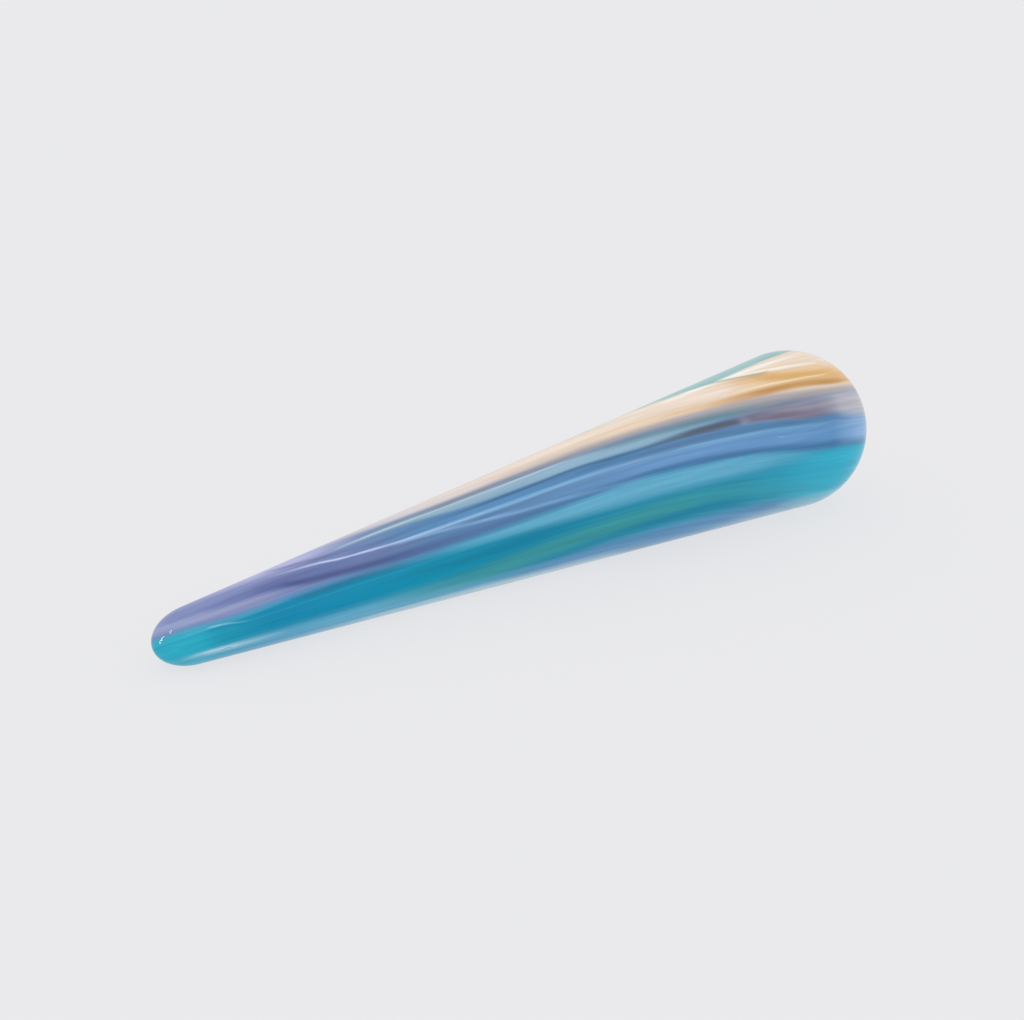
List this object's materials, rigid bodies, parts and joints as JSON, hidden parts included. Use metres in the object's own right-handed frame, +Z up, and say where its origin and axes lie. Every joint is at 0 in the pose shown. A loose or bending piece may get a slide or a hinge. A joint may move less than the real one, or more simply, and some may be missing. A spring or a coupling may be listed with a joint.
{
  "type": "pocket glass dip pen",
  "caption": "Tapered marbled glass pen barrel, round at both ends, with a fluted glass nib on a plug stowed inside its wide end.",
  "frame": {"origin": "centre of the bounding box's underside: the point on the table below the middle of the pen's length", "axes": "+X along the pen as it lies, towards the wide end and its mouth; +Z up; the pen's own axis leans up from +X by 4.4 degrees because the taper's lower side lies on the table"},
  "size_m": [0.0898, 0.018, 0.018],
  "materials": {
    "marbled_glass": "fire-polished opaque glass, marbled lengthwise in cream, gold, mauve, blue and teal",
    "cabochon_glass": "polished opaque glass, marbled in teal and cyan",
    "clear_glass": "clear, fire-polished",
    "sleeve_brass": "turned, satin",
    "holder_brass": "turned and polished",
    "seal_rubber": "matt",
    "washer_rubber": "matt",
    "soft_silicone": "matt translucent silicone"
  },
  "bodies": {
    "barrel": {"glass_barrel": "marbled_glass", "socket_sleeve": "sleeve_brass", "stop_washer": "washer_rubber", "tip_cushion": "soft_silicone"},
    "seals": {"outer_o_ring": "seal_rubber", "inner_o_ring": "seal_rubber"},
    "nib_unit": {"nib_holder": "holder_brass", "end_cabochon": "cabochon_glass", "nib_bush": "soft_silicone", "gland_nut": "holder_brass", "glass_nib": "clear_glass"}
  },
  "joints": [
    {"name": "nib_unit_pull", "type": "slide", "parent": "barrel", "child": "seals", "axis": [0.997, 0, 0.077], "range_m": [0, 0.046]},
    {"name": "nib_unit_spin", "type": "hinge", "parent": "seals", "child": "nib_unit", "pos_m": [0.03688, 0, 0.00908], "axis": [0.997, 0, 0.077], "continuous": true}
  ]
}
